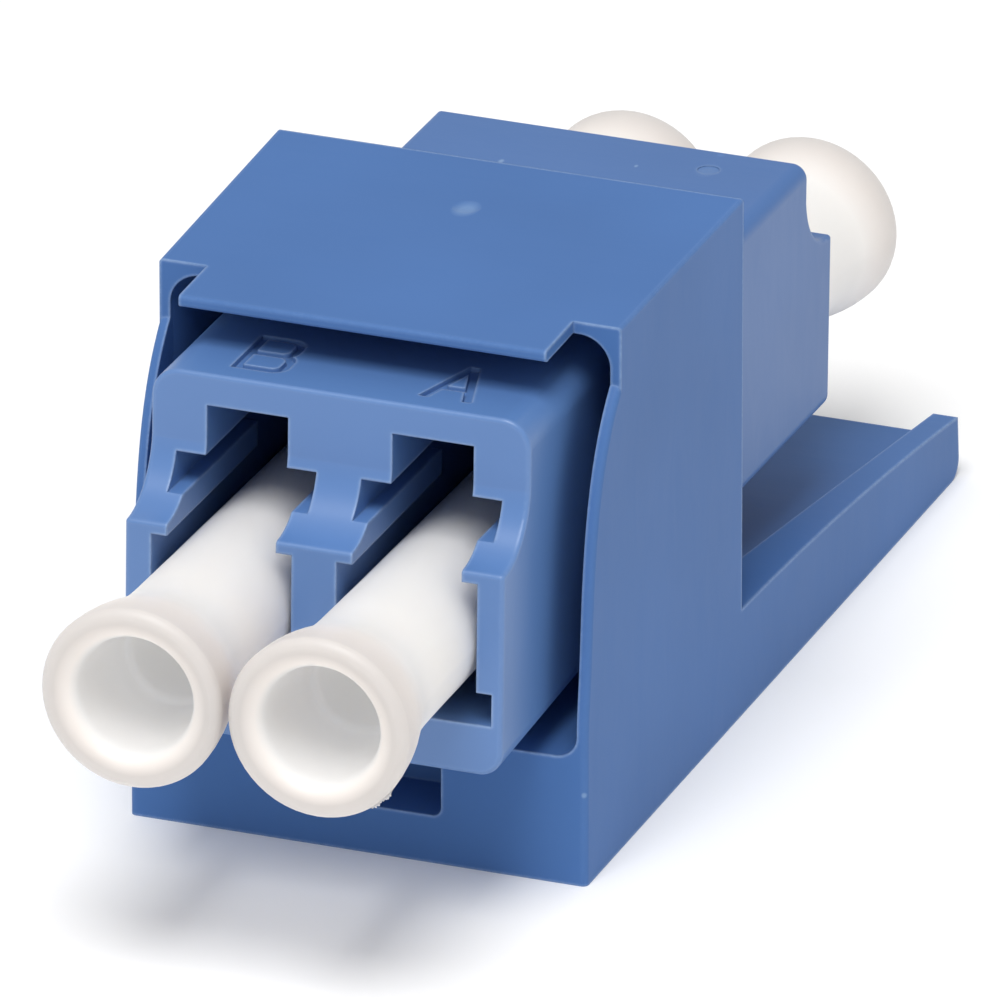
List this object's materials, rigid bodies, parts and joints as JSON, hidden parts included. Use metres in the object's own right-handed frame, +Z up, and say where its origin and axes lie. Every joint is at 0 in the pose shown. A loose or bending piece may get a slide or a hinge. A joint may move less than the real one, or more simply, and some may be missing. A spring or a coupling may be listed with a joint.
{
  "type": "lc fibre adapter",
  "caption": "Duplex LC fibre adapter in a blue snap-in outlet module housing with a sloping tail, fitted with white dust caps on its front and rear ports.",
  "frame": {"origin": "centre of the footprint, on the plane the module rests on", "axes": "+Z up, +Y from the front ports to the tail, +X to the right seen from the front"},
  "size_m": [0.0164, 0.046, 0.0182],
  "materials": {
    "housing_plastic": "blue moulded plastic, fine satin",
    "shell_plastic": "blue moulded plastic, satin",
    "zirconia": "polished white zirconia ceramic",
    "cap_plastic": "soft milky white polyethylene"
  },
  "bodies": {
    "base": {"module_housing": "housing_plastic", "adapter_front_shell": "shell_plastic", "adapter_rear_shell": "shell_plastic", "split_sleeve_a": "zirconia", "split_sleeve_b": "zirconia"},
    "cap_front_a": {"dust_cap_front_a": "cap_plastic"},
    "cap_front_b": {"dust_cap_front_b": "cap_plastic"},
    "cap_rear_a": {"dust_cap_rear_a": "cap_plastic"},
    "cap_rear_b": {"dust_cap_rear_b": "cap_plastic"}
  },
  "joints": [
    {"name": "cap_front_a_pull", "type": "slide", "parent": "base", "child": "cap_front_a", "axis": [0, -0.9994, 0.034], "range_m": [0, 0.03]},
    {"name": "cap_front_b_pull", "type": "slide", "parent": "base", "child": "cap_front_b", "axis": [0, -0.9994, 0.034], "range_m": [0, 0.03]},
    {"name": "cap_rear_a_pull", "type": "slide", "parent": "base", "child": "cap_rear_a", "axis": [0, 0.9994, -0.034], "range_m": [0, 0.03]},
    {"name": "cap_rear_b_pull", "type": "slide", "parent": "base", "child": "cap_rear_b", "axis": [0, 0.9994, -0.034], "range_m": [0, 0.03]}
  ]
}
